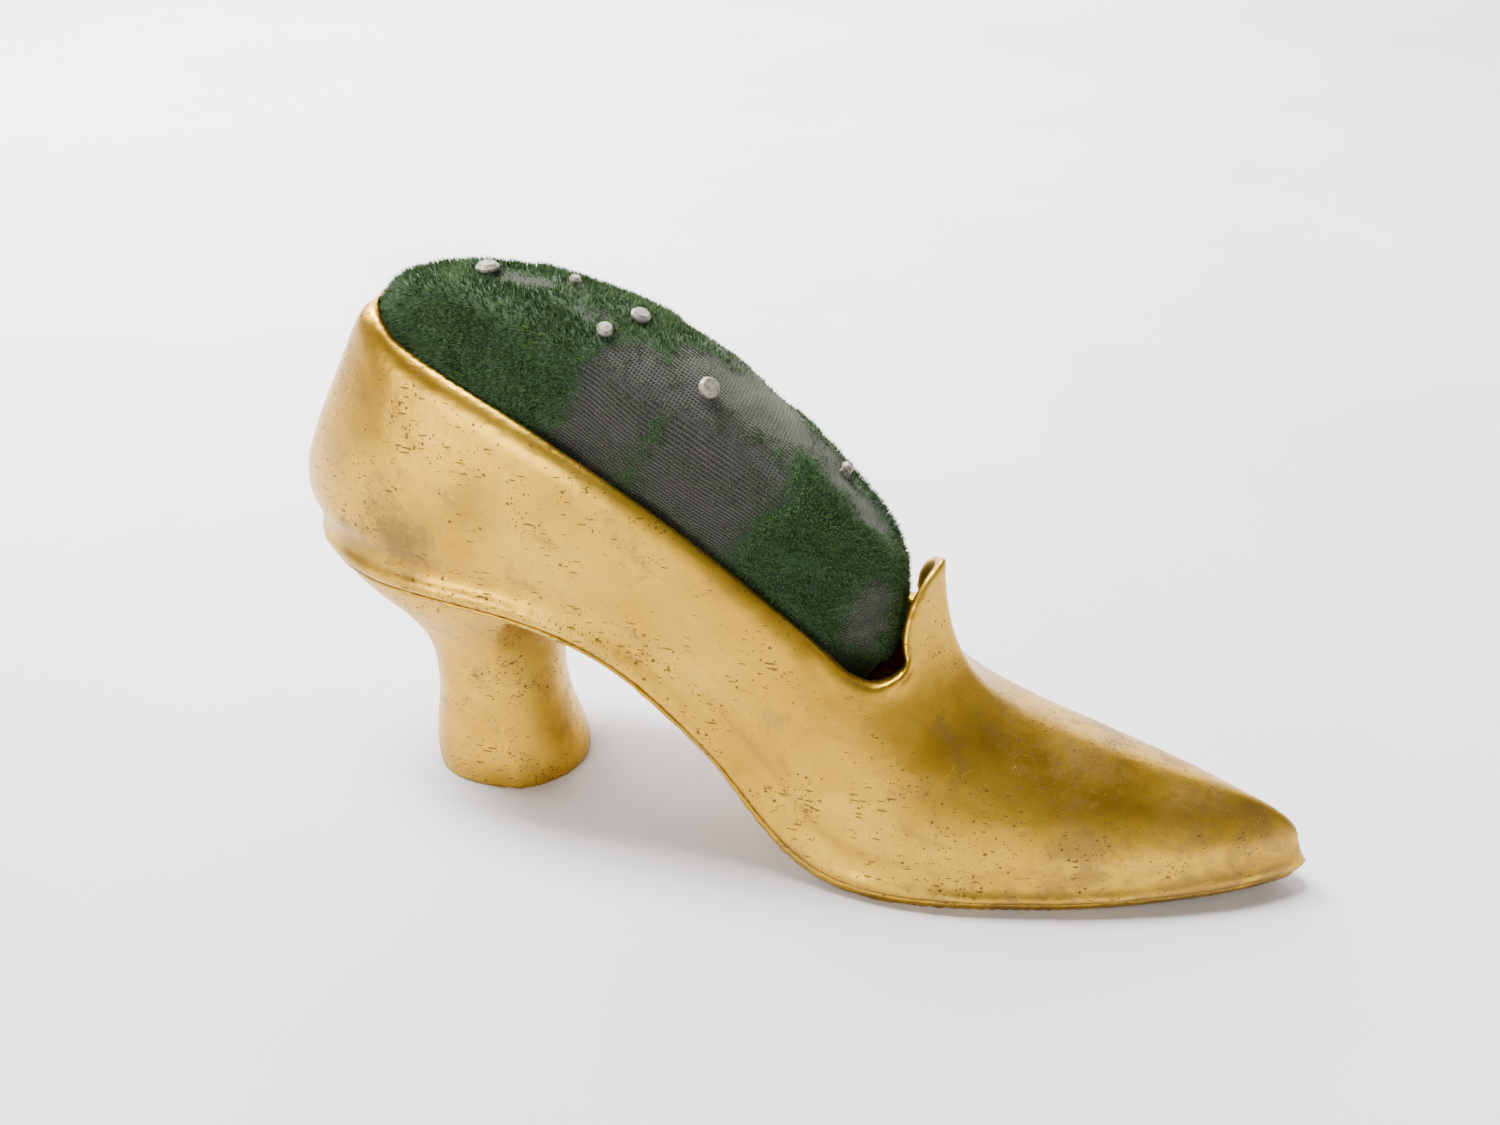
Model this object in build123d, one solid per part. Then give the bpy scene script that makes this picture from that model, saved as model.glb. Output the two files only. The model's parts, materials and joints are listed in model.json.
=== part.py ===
from build123d import *
import math
import os

# Lady's pump pincushion: a gilt cast shoe holding a stuffed velvet pad with six pins.
# Design frame: X runs from the back of the shoe to the toe, Y across, Z up from the table.
# Every piece is moved at the end, so that the origin is the bottom centre of the whole.

# ---- overall sizes, mm ----
shoe_length = 140.0        # back of the counter to the tip of the toe
shoe_height = 77.0         # table to the top of the rim at the back
ball_width = 37.0          # across the welt at the ball of the foot

# ---- casting ----
wall = 2.4                 # thickness of the cast upper
tongue_wall = 1.4          # thickness of the tongue
bead_out = 0.8             # how far the welt bead stands out from the upper
bead_height = 1.5          # height of the welt bead
sole_thickness = 1.7       # sole plate under the forefoot
shank_thickness = 0.8      # sole plate from the shank back to the heel seat
sole_out = 0.5             # how far the sole plate stands out from the upper

# ---- heel ----
heel_foot_length = 23.1    # heel base, back to front
heel_foot_width = 19.4     # heel base, corner to corner

# ---- pad ----
pad_depth = 11.0           # how far the pad reaches down inside the rim
pad_gap = 0.5              # glue gap between the pad and the upper
velvet_thickness = 1.0
bag_thickness = 0.5
card_thickness = 1.2
hem_inset = 6.0            # width of the velvet turned in under the card
thread_diameter = 0.5
thread_inset = 4.0         # gathering thread, from the pad's edge
glue_height = 3.0
glue_end = 70.0            # how far along the pad the glue reaches, short of the toe box

# ---- pins ----
pin_diameter = 0.7
pin_length = 20.0          # under the head
pin_head_thickness = 0.8
pin_clearance = 0.05       # radial play of a shank in the pad
head_gap = 0.12            # between a head and the velvet under it

# ---- drawn sizes that the outlines below were set out for ----
DRAWN_LENGTH = 140.0
DRAWN_HEIGHT = 77.0
DRAWN_HALF_WIDTH = 18.5
EXTRA = 30.0               # overshoot of cutting solids


def X(x):
    return x * shoe_length / DRAWN_LENGTH


def Y(y):
    return y * ball_width / 2 / DRAWN_HALF_WIDTH


def Z(z):
    return z * shoe_height / DRAWN_HEIGHT


# Level outlines of the last, bottom to top.  Each row holds the level, the back of the
# heel, the half widths at heel and waist, the station and half width where the front
# curve starts, the front of the outline, the fullness of the front curve, and how much
# of the wall lies over the cavity at that level.
WATERLINES = (
    (-3.0, 11.0, 12.3, 12.0, 86.0, 16.8, 137.0, 0.74, 1.0),
    (3.0, 10.0, 12.5, 12.2, 86.0, 17.7, 138.9, 0.74, 1.0),
    (8.0, 9.0, 12.7, 12.6, 86.0, 17.7, 139.1, 0.76, 1.0),
    (12.0, 8.0, 12.9, 13.0, 86.0, 17.0, 135.6, 0.86, 1.0),
    (16.0, 7.6, 13.1, 13.4, 86.0, 15.7, 122.4, 0.86, 1.0),
    (20.0, 7.2, 13.3, 13.8, 85.0, 14.6, 106.4, 0.80, 1.0),
    (24.0, 6.8, 13.5, 14.0, 83.0, 13.9, 97.1, 0.80, 0.9),
    (29.0, 5.6, 13.7, 14.0, 80.0, 13.2, 92.5, 0.84, 0.5),
    (36.0, 2.9, 13.9, 13.8, 76.0, 12.7, 89.8, 0.86, 0.2),
    (45.0, 0.2, 14.0, 13.6, 72.0, 12.2, 88.0, 0.80, 0.0),
    (55.0, 2.6, 12.9, 13.2, 66.0, 12.0, 84.5, 0.70, 0.0),
    (66.0, 8.3, 10.2, 12.4, 60.0, 11.6, 80.0, 0.60, 0.0),
    (73.0, 12.3, 8.4, 12.0, 57.0, 11.3, 78.0, 0.55, 0.0),
    (80.0, 16.6, 6.4, 11.6, 54.0, 11.0, 76.0, 0.50, 0.0),
)
TONGUE_SHARE = 0.6         # rows with less wall over the cavity belong to the tongue
HEEL_STATION = 24.0        # behind this the outline rounds off to the back
WAIST_STATION = 54.0
FRONT_POWER = 1.5          # how straight the sides run towards the toe
FRONT_STEPS = (0.25, 0.5, 0.72, 0.88, 0.965)
BACK_ANGLES = (30.0, 60.0)


def waterline(row, inset):
    """Closed outline of the last at one level, drawn in by inset all round."""
    level, back, heel, waist, front_start, front_half, front, fullness, over = row
    x_back = X(back) + inset
    thinning = min(inset, wall) * (1 - tongue_wall / wall) if over < TONGUE_SHARE else 0
    x_front = X(front) - inset + max(thinning, 0)
    half = [Y(w) - inset for w in (heel, waist, front_half)]
    heel_x, waist_x, start_x = X(HEEL_STATION), X(WAIST_STATION), X(front_start)
    side = []
    for angle in BACK_ANGLES:
        a = math.radians(angle)
        side.append((heel_x - (heel_x - x_back) * math.cos(a), half[0] * math.sin(a)))
    side.append((heel_x, half[0]))
    if start_x - waist_x > X(8.0):
        side.append((waist_x, half[1]))
    else:
        side.append(((heel_x + start_x) / 2, half[1]))
    side.append((start_x, half[2]))
    for s in FRONT_STEPS:
        w = half[2] * (1 - s ** FRONT_POWER) ** fullness
        side.append((start_x + (x_front - start_x) * s, w))
    height = Z(level) - over * max(inset, 0)
    if row is WATERLINES[-1]:
        height += max(inset, 0)
    left = [(x, w, height) for x, w in side]
    right = [(x, -w, height) for x, w in reversed(side)]
    points = [(x_back, 0, height)] + left + [(x_front, 0, height)] + right
    return Wire([Edge.make_spline([Vector(*p) for p in points], periodic=True)])


def last(inset):
    """The foot-shaped solid inside the shoe's outer surface."""
    return Solid.make_loft([waterline(row, inset) for row in WATERLINES])


# Side profile of the joint between the upper and the sole plate, heel to toe.
SEAM = (
    (-8.0, 37.6), (2.0, 37.6), (14.0, 37.0), (25.0, 36.4), (36.0, 34.8), (46.0, 30.9),
    (55.0, 24.1), (62.0, 16.7), (68.0, 9.5), (73.0, 4.9), (78.0, 2.5), (84.0, 1.7),
    (93.0, 1.6), (106.0, 1.6), (118.0, 2.0), (130.0, 2.8), (140.0, 3.0), (150.0, 3.0),
)
SHANK_END = 62.0           # the plate thickens from here
BALL_START = 78.0          # to here
# Side profile of the rim, from behind the shoe, over the back, down to the throat,
# round the scoop at the throat's corner and up the edge of the tongue to its tip.
RIM = (
    (-8.0, 74.6), (11.0, 74.8), (14.0, 74.0), (18.0, 70.8), (24.6, 67.4), (35.9, 62.9),
    (48.6, 56.0), (61.6, 47.0), (72.0, 38.8), (76.6, 34.6),
)
SCOOP = ((76.6, 34.6), (79.6, 32.0), (82.6, 31.2), (84.4, 32.4))
TONGUE_EDGE = ((84.4, 32.4), (83.9, 36.0), (84.3, 39.5), (85.6, 42.6), (88.2, 45.2))
SKY = 95.0                 # top of the rim's cutting solid


def side_points(points):
    return [Vector(X(x), 0, Z(z)) for x, z in points]


def lowered(points, drop):
    """A side profile moved down by drop(x), measured square to the profile."""
    spots = side_points(points)
    result = []
    for i, spot in enumerate(spots):
        along = spots[min(i + 1, len(spots) - 1)] - spots[max(i - 1, 0)]
        result.append(spot + Vector(along.Z, 0, -along.X).normalized() * drop(points[i][0]))
    return result


def evenly(drop):
    """The same drop at every station, for lowered()."""
    return lambda station: drop


def plate_drop(station):
    """Thickness of the sole plate: thin under the heel and shank, thicker at the ball."""
    share = min(max((station - SHANK_END) / (BALL_START - SHANK_END), 0), 1)
    return shank_thickness + (sole_thickness - shank_thickness) * share


def across(edges):
    """A solid right across the shoe with the given closed side profile."""
    return extrude(make_face(edges), amount=ball_width, dir=(0, 1, 0), both=True)


def band(top_drop, bottom_drop):
    """The space between the seam profile lowered by two amounts."""
    top = Edge.make_spline(lowered(SEAM, top_drop))
    bottom = Edge.make_spline(lowered(SEAM, bottom_drop))
    ends = [Edge.make_line(top @ 0, bottom @ 0), Edge.make_line(top @ 1, bottom @ 1)]
    return across([top, bottom] + ends)


def below_rim():
    """The space under the rim, the scoop and the tongue."""
    rim = Edge.make_spline(side_points(RIM))
    scoop = Edge.make_spline(side_points(SCOOP))
    tongue = Edge.make_spline(side_points(TONGUE_EDGE))
    floor = -EXTRA
    corners = [tongue @ 1, Vector(X(150), 0, Z(45)), Vector(X(150), 0, floor)]
    corners += [Vector(X(-8), 0, floor), rim @ 0]
    sides = [Edge.make_line(a, b) for a, b in zip(corners, corners[1:])]
    return across([rim, scoop, tongue] + sides)


def above_seam(drop):
    """Everything above the seam profile lowered by drop."""
    seam = Edge.make_spline(lowered(SEAM, drop))
    start, end = seam @ 0, seam @ 1
    corners = [end, Vector(end.X, 0, SKY), Vector(start.X, 0, SKY), start]
    sides = [Edge.make_line(a, b) for a, b in zip(corners, corners[1:])]
    return across([seam] + sides)


def make_upper():
    """Cast shell from the welt bead up to the rim and the tongue's tip."""
    hollow = last(0) - last(wall)
    shell = hollow & (below_rim() & above_seam(evenly(0)))
    ring = (last(-bead_out) - last(wall / 2)) & band(evenly(-bead_height), evenly(0))
    return shell + ring


def make_sole():
    """Plate under the upper, with its tread worn flat where it meets the floor."""
    plate = last(-sole_out) & band(evenly(0), plate_drop)
    floor = Solid.make_box(2 * shoe_length, 2 * ball_width, EXTRA)
    return plate - floor.moved(Location((-shoe_length / 2, -ball_width, -EXTRA)))


# Level sections of the heel: the level, its back, the station and half width of the two
# side ridges, and its front.
HEEL_ROWS = (
    (0.0, 13.7, 29.6, 9.7, 36.8), (1.2, 13.7, 29.6, 9.7, 36.9), (4.5, 13.9, 29.2, 9.5, 36.3),
    (9.0, 14.6, 28.5, 8.9, 35.0), (14.0, 15.4, 27.9, 8.5, 34.3), (19.0, 15.6, 27.7, 8.4, 34.4),
    (23.5, 14.8, 28.0, 8.8, 35.2), (27.5, 12.4, 29.2, 9.9, 37.0), (31.0, 8.8, 31.0, 11.4, 41.0),
    (34.0, 5.2, 33.5, 12.5, 46.0), (37.5, 3.2, 36.0, 13.2, 51.0),
)
REAR_ARC = ((0.53, 1.0), (0.74, 0.87), (0.90, 0.60))
FRONT_ARC = ((0.38, 0.84), (0.69, 0.61), (0.90, 0.35))


def heel_section(row):
    """One level of the heel; the foot's own length and width fade out towards the seat."""
    level, back, ridge, half, front = row
    foot, seat = HEEL_ROWS[0], HEEL_ROWS[-1]
    share = 1 - level / seat[0]
    longer = 1 + share * (heel_foot_length / X(foot[4] - foot[1]) - 1)
    wider = 1 + share * (heel_foot_width / Y(2 * foot[3]) - 1)
    ridge_x, half_y, height = X(ridge), Y(half) * wider, Z(level)
    rear_run, front_run = X(ridge - back) * longer, X(front - ridge) * longer
    corner = (ridge_x, half_y)
    rear = [corner] + [(ridge_x - a * rear_run, b * half_y) for a, b in REAR_ARC]
    fore = [corner] + [(ridge_x + a * front_run, b * half_y) for a, b in FRONT_ARC]
    edges = []
    for side, middle in ((rear, ridge_x - rear_run), (fore, ridge_x + front_run)):
        mirrored = [(x, -y) for x, y in reversed(side)]
        outline = side + [(middle, 0)] + mirrored
        edges.append(Edge.make_spline([Vector(x, y, height) for x, y in outline]))
    return Wire(edges)


def make_heel():
    flare = Solid.make_loft([heel_section(row) for row in HEEL_ROWS])
    return flare - above_seam(plate_drop)


# ---- pad: its own plane lies along the rim, u from the back to the throat, w outwards ----
PAD_BACK = (14.0, 74.5)            # X and Z of the plane's start, at the back of the rim
PAD_FRONT = (80.0, 33.5)           # X and Z of a second point, at the throat
# Sections of the pad's dome: station u, half width, and height of the crown.
DOME_ROWS = (
    (-1.0, 6.0, 0.9), (2.0, 8.5, 2.7), (6.0, 10.0, 6.2), (12.0, 11.0, 10.6),
    (20.0, 11.8, 14.8), (30.0, 12.2, 17.7), (41.0, 12.2, 19.0), (51.0, 12.0, 17.9),
    (61.0, 11.6, 15.6), (70.0, 10.6, 12.9), (75.0, 8.7, 10.2), (78.4, 6.8, 5.8), (80.8, 5.4, 1.0),
)
DOME_SHAPE = ((0.96, 0.42), (0.78, 0.76), (0.44, 0.945))


def pad_plane():
    start = Vector(X(PAD_BACK[0]), 0, Z(PAD_BACK[1]))
    along = Vector(X(PAD_FRONT[0]), 0, Z(PAD_FRONT[1])) - start
    return Plane(origin=start, x_dir=along, z_dir=Vector(-along.Z, 0, along.X))


def dome_section(row, inset, floor):
    u, half, crown = row
    a = Y(half) - inset
    h = max(Z(crown) - inset, 0.3)
    side = [(a, 0)] + [(a * p, h * q) for p, q in DOME_SHAPE]
    outline = side + [(0, h)] + [(-v, w) for v, w in reversed(side)]
    place = pad_plane()
    points = [place.from_local_coords(Vector(X(u), v, w)) for v, w in outline]
    foot = [place.from_local_coords(Vector(X(u), v, floor)) for v in (-a, a)]
    arch = Edge.make_spline(points)
    sides = [Edge.make_line(arch @ 1, foot[0]), Edge.make_line(foot[0], foot[1])]
    return Wire([arch] + sides + [Edge.make_line(foot[1], arch @ 0)])


def pad_body(inset, floor):
    """The pad's outer shape drawn in by inset, down to a floor in the pad's plane."""
    dome = Solid.make_loft([dome_section(row, inset, floor) for row in DOME_ROWS])
    return dome & last(wall + pad_gap + inset)


def slab(bottom, top, start=-20.0, end=110.0):
    """A block across the shoe between two heights over the pad's plane."""
    block = Solid.make_box(end - start, 2 * ball_width, top - bottom)
    block = block.moved(Location((start, -ball_width, bottom)))
    return block.moved(pad_plane().location)


def pad_layer(inset, bottom, top):
    """A flat layer of the pad's plan, drawn in by inset, between two heights."""
    start = X(DOME_ROWS[0][0]) + inset
    end = X(DOME_ROWS[-1][0]) - inset
    return last(wall + pad_gap + inset) & slab(bottom, top, start, end)


pad_floor = -pad_depth
card_floor = pad_floor + velvet_thickness
bag_floor = card_floor + card_thickness
stuffing_floor = bag_floor + bag_thickness
stuffing_inset = velvet_thickness + bag_thickness


def make_velvet_cover(channels):
    """Velvet over the dome, turned in under the card round an open middle."""
    cover = pad_body(0, pad_floor) - pad_body(velvet_thickness, card_floor)
    return (cover - pad_layer(hem_inset, pad_floor - 1, card_floor)) - channels


def make_card_base():
    return pad_body(velvet_thickness, card_floor) & slab(card_floor, bag_floor)


def thinnest(shape):
    """The smallest solid of a shape, which is the skin once its filling is cut free."""
    return shape.solids().sort_by(SortBy.VOLUME)[0]


def make_inner_bag(channels):
    filled = pad_body(velvet_thickness, bag_floor)
    hollow = filled - pad_body(stuffing_inset, stuffing_floor)
    return thinnest(hollow) - channels


def make_stuffing(channels):
    return pad_body(stuffing_inset, stuffing_floor) - channels


def make_gathering_thread():
    """Thread that draws the velvet's hem together under the card."""
    bottom = pad_floor - thread_diameter
    inner = pad_layer(thread_inset + thread_diameter, bottom - 1, pad_floor + 1)
    return pad_layer(thread_inset, bottom, pad_floor) - inner


def make_glue_line():
    """Glue between the pad's sides and the inside of the upper, open at the toe end."""
    layer = slab(pad_floor, pad_floor + glue_height, end=X(glue_end))
    return (last(wall) & layer) - last(wall + pad_gap)

# ---- pins: station u, offset across, lean forward, lean across, head diameter ----
PINS = (
    (11.4, 0.8, -33.0, 3.0, 3.0), (21.3, 1.6, -20.0, 4.0, 1.5), (28.0, -5.4, -12.0, -26.0, 2.0),
    (30.4, -0.6, -10.0, -2.0, 2.5), (42.0, -5.4, 6.0, -26.0, 2.7), (62.0, 1.8, 19.0, 6.0, 1.7),
)
pin_tip = 1.6              # length of the ground point
pin_bore_end = 0.4         # room past the point
HEAD_EDGE = 0.45           # share of the head's thickness that is its upright edge
HEAD_CROWN = 0.72          # share of the head's radius that is flat on top


def pin_place(pin, pad):
    """Plane at the pad's surface with its Z along the pin, outwards."""
    u, v, lean_u, lean_v, head = pin
    place = pad_plane()
    lean = Vector(math.tan(math.radians(lean_u)), math.tan(math.radians(lean_v)), 1)
    away = place.from_local_coords(lean) - place.origin
    start = place.from_local_coords(Vector(X(u), Y(v), 0))
    hits = pad.find_intersection_points(Axis(start, place.z_dir))
    top = max((point for point, normal in hits), key=lambda point: (point - start).dot(away))
    return Plane(origin=top + away.normalized() * head_gap, z_dir=away)


def turned(points, plane):
    """Solid of revolution about the plane's Z from its half profile."""
    profile = make_face(Polyline(*[(r, 0, h) for r, h in points], close=True).edges())
    return revolve(profile, axis=Axis.Z).moved(plane.location)


def make_pin(pin, plane):
    shank = pin_diameter / 2
    head = pin[4] / 2
    edge = pin_head_thickness * HEAD_EDGE
    points = [(0, -pin_length), (shank, pin_tip - pin_length), (shank, 0), (head, 0)]
    points += [(head, edge), (head * HEAD_CROWN, pin_head_thickness), (0, pin_head_thickness)]
    return turned(points, plane)


def make_channel(plane):
    bore = pin_diameter / 2 + pin_clearance
    depth = pin_length + pin_bore_end
    return Solid.make_cylinder(bore, depth + 2, plane).moved(Location(plane.z_dir * -depth))


def make_parts():
    pad = pad_body(0, pad_floor)
    places = [pin_place(pin, pad) for pin in PINS]
    channels = [make_channel(place) for place in places]
    parts = {
        "upper": make_upper(),
        "sole": make_sole(),
        "heel": make_heel(),
        "velvet_cover": make_velvet_cover(channels),
        "inner_bag": make_inner_bag(channels),
        "stuffing": make_stuffing(channels),
        "card_base": make_card_base(),
        "gathering_thread": make_gathering_thread(),
        "glue_line": make_glue_line(),
    }
    for number, (pin, place) in enumerate(zip(PINS, places), start=1):
        parts[f"pin_{number}"] = make_pin(pin, place)
    return parts, places


parts, pin_planes = make_parts()
metal = [parts[name].bounding_box() for name in ("upper", "sole", "heel")]
middle_x = (min(box.min.X for box in metal) + max(box.max.X for box in metal)) / 2
to_frame = Location((-middle_x, 0, 0))
os.makedirs("parts", exist_ok=True)
for name, solid in parts.items():
    export_step(solid.moved(to_frame), f"parts/{name}.step")
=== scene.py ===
import json
import math

import bmesh
import bpy
import numpy as np
from mathutils import Matrix, Vector
from mathutils.bvhtree import BVHTree


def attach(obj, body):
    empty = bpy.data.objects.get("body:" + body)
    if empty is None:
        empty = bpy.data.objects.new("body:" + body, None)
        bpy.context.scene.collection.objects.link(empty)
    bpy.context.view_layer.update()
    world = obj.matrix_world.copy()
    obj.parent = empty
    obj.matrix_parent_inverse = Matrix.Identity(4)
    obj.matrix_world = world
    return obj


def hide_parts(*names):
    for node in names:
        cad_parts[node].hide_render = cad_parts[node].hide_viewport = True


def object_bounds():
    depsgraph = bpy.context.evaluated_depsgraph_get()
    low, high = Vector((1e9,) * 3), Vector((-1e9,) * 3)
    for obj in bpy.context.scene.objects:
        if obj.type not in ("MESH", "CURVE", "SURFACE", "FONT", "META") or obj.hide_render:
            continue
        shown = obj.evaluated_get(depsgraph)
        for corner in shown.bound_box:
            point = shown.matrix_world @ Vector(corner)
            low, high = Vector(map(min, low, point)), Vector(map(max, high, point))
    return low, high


# Looks of the shoe pincushion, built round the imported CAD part.  Meshes, lights and the camera
# are in metres.  Lengths written as a number * MM are millimetres turned into metres, and
# materials and the pad's own frame (to_pad) work in plain millimetres.

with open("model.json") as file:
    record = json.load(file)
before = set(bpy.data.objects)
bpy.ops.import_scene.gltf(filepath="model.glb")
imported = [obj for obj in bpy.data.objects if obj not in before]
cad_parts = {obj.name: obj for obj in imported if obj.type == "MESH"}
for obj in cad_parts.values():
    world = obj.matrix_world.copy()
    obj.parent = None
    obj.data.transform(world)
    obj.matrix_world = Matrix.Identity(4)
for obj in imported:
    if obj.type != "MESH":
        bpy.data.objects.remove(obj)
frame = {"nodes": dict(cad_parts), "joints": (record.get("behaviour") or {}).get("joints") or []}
cad_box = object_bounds()
nodes = frame["nodes"]
MM = 0.001


# ---------------------------------------------------------------- mesh helpers

def corners(mesh):
    """Vertex positions of a mesh as an (n, 3) array."""
    co = np.empty(len(mesh.vertices) * 3)
    mesh.vertices.foreach_get("co", co)
    return co.reshape(-1, 3)


def set_corners(mesh, co):
    mesh.vertices.foreach_set("co", np.asarray(co, np.float32).ravel())
    mesh.update()


def normals(mesh):
    no = np.empty(len(mesh.vertices) * 3)
    mesh.vertices.foreach_get("normal", no)
    return no.reshape(-1, 3)


def new_piece(name, mesh):
    piece = bpy.data.objects.new(name, mesh)
    bpy.context.scene.collection.objects.link(piece)
    return piece


def bake_modifiers(piece):
    """Replaces a piece's mesh by what its modifiers make of it."""
    graph = bpy.context.evaluated_depsgraph_get()
    mesh = bpy.data.meshes.new_from_object(piece.evaluated_get(graph))
    piece.modifiers.clear()
    old, piece.data = piece.data, mesh
    bpy.data.meshes.remove(old)


SMOOTHING = 0.5            # share of the way a corner moves in each round of smoothing


def remesh(piece, voxel, rounds=0):
    """Gives a piece an even mesh, and smooths it for some rounds."""
    step = piece.modifiers.new("remesh", "REMESH")
    step.mode = "VOXEL"
    step.voxel_size = voxel
    step.use_smooth_shade = True
    if rounds:
        soft = piece.modifiers.new("soften", "SMOOTH")
        soft.iterations = rounds
        soft.factor = SMOOTHING
    bake_modifiers(piece)


def welded_copy(node, name):
    """A new piece with the CAD node's mesh, its split vertices joined."""
    bm = bmesh.new()
    bm.from_mesh(nodes[node].data)
    bmesh.ops.remove_doubles(bm, verts=bm.verts, dist=2e-6)
    mesh = bpy.data.meshes.new(name)
    bm.to_mesh(mesh)
    bm.free()
    return new_piece(name, mesh)


def shade_smooth(piece):
    piece.data.shade_smooth()


def set_attribute(mesh, name, values):
    kind = "FLOAT_VECTOR" if np.ndim(values) == 2 else "FLOAT"
    layer = mesh.attributes.new(name, kind, "POINT")
    key = "vector" if kind == "FLOAT_VECTOR" else "value"
    layer.data.foreach_set(key, np.asarray(values, np.float32).ravel())


def lattice(cells, seed):
    """A repeatable random number from 0 to 1 for each whole-number cell."""
    x, y, z = (cells[:, i].astype(np.int64) for i in range(3))
    mixed = (x * 73856093) ^ (y * 19349663) ^ (z * 83492791) ^ (seed * 2654435761)
    mixed = (mixed ^ (mixed >> 13)) * 1274126177
    return ((mixed ^ (mixed >> 16)) & 0xFFFFFF) / 0xFFFFFF


def lumps(points, size, seed):
    """Smooth noise from -1 to 1 whose lumps are about size across."""
    scaled = points / size
    base = np.floor(scaled)
    part = scaled - base
    part = part * part * (3 - 2 * part)
    total = np.zeros(len(points))
    for corner in range(8):
        offset = np.array([corner & 1, corner >> 1 & 1, corner >> 2 & 1])
        weight = np.prod(np.where(offset == 1, part, 1 - part), axis=1)
        total += weight * lattice(base + offset, seed)
    return total * 2 - 1


def ease(values, low, high):
    """0 below low, 1 above high, smooth between."""
    t = np.clip((values - low) / (high - low), 0, 1)
    return t * t * (3 - 2 * t)


# ---------------------------------------------------------------- material helpers

class Surface:
    """A procedural material, built one node at a time."""

    def __init__(self, name):
        self.material = bpy.data.materials.new(name)
        self.material.use_nodes = True
        self.tree = self.material.node_tree
        self.tree.nodes.clear()
        self.output = self.tree.nodes.new("ShaderNodeOutputMaterial")
        place = self.tree.nodes.new("ShaderNodeTexCoord")
        self.mm = self.vector("SCALE", place.outputs["Object"], scale=1000.0)

    def feed(self, socket, value):
        if isinstance(value, bpy.types.NodeSocket):
            self.tree.links.new(value, socket)
        elif value is not None:
            socket.default_value = value

    def vector(self, operation, a, b=None, scale=None):
        node = self.tree.nodes.new("ShaderNodeVectorMath")
        node.operation = operation
        self.feed(node.inputs[0], a)
        self.feed(node.inputs[1], b)
        if scale is not None:
            self.feed(node.inputs["Scale"], scale)
        return node.outputs["Value" if operation == "DISTANCE" else "Vector"]

    def math(self, operation, a, b=None):
        node = self.tree.nodes.new("ShaderNodeMath")
        node.operation = operation
        self.feed(node.inputs[0], a)
        self.feed(node.inputs[1], b)
        return node.outputs[0]

    def turn(self, rotation, stretch):
        node = self.tree.nodes.new("ShaderNodeMapping")
        self.feed(node.inputs["Vector"], self.mm)
        node.inputs["Rotation"].default_value = rotation
        node.inputs["Scale"].default_value = stretch
        return node.outputs[0]

    def noise(self, scale, detail, rough, warp=0.0):
        node = self.tree.nodes.new("ShaderNodeTexNoise")
        self.feed(node.inputs["Vector"], self.mm)
        node.inputs["Scale"].default_value = scale
        node.inputs["Detail"].default_value = detail
        node.inputs["Roughness"].default_value = rough
        node.inputs["Distortion"].default_value = warp
        return node.outputs["Fac"]

    def cells(self, scale, source=None):
        """(distance to the nearest cell centre, a random number for the cell)"""
        node = self.tree.nodes.new("ShaderNodeTexVoronoi")
        self.feed(node.inputs["Vector"], source or self.mm)
        node.inputs["Scale"].default_value = scale
        split = self.tree.nodes.new("ShaderNodeSeparateColor")
        self.feed(split.inputs[0], node.outputs["Color"])
        return node.outputs["Distance"], split.outputs[0]

    def span(self, value, low, high, start=0.0, end=1.0):
        """start at low and below, end at high and above, smooth between."""
        node = self.tree.nodes.new("ShaderNodeMapRange")
        node.interpolation_type = "SMOOTHSTEP"
        for name, x in zip(("Value", "From Min", "From Max", "To Min", "To Max"),
                           (value, low, high, start, end)):
            self.feed(node.inputs[name], x)
        return node.outputs["Result"]

    def ramp(self, value, *stops):
        node = self.tree.nodes.new("ShaderNodeValToRGB")
        self.feed(node.inputs[0], value)
        band = node.color_ramp
        while len(band.elements) < len(stops):
            band.elements.new(0.5)
        for element, (position, colour) in zip(band.elements, stops):
            element.position = position
            element.color = (*colour, 1.0)
        return node.outputs[0]

    def mix(self, share, a, b):
        node = self.tree.nodes.new("ShaderNodeMix")
        node.data_type = "RGBA"
        self.feed(node.inputs[0], share)
        self.feed(node.inputs[6], (*a, 1.0) if isinstance(a, tuple) else a)
        self.feed(node.inputs[7], (*b, 1.0) if isinstance(b, tuple) else b)
        return node.outputs[2]

    def bump(self, height, distance, strength=1.0, below=None):
        node = self.tree.nodes.new("ShaderNodeBump")
        node.inputs["Strength"].default_value = strength
        node.inputs["Distance"].default_value = distance
        self.feed(node.inputs["Height"], height)
        self.feed(node.inputs["Normal"], below)
        return node.outputs[0]

    def attribute(self, name, output="Fac"):
        node = self.tree.nodes.new("ShaderNodeAttribute")
        node.attribute_name = name
        return node.outputs[output]

    def shader(self, **sockets):
        node = self.tree.nodes.new("ShaderNodeBsdfPrincipled")
        for name, value in sockets.items():
            self.feed(node.inputs[name.replace("_", " ")], value)
        self.feed(self.output.inputs["Surface"], node.outputs[0])
        return self.material


def near(surface, centre_mm, inner, outer):
    """1 within inner of a point and 0 beyond outer, with a ragged edge."""
    reach = surface.vector("DISTANCE", surface.mm, centre_mm)
    ragged = surface.math("MULTIPLY", surface.noise(0.45, 5.0, 0.7), outer)
    return surface.span(surface.math("ADD", reach, ragged), inner + outer * 0.5, outer * 1.5, 1, 0)


# ---------------------------------------------------------------- materials

DARK_STAIN = (0.10, 0.066, 0.028)
PIT_COLOUR = (0.105, 0.068, 0.026)
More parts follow.
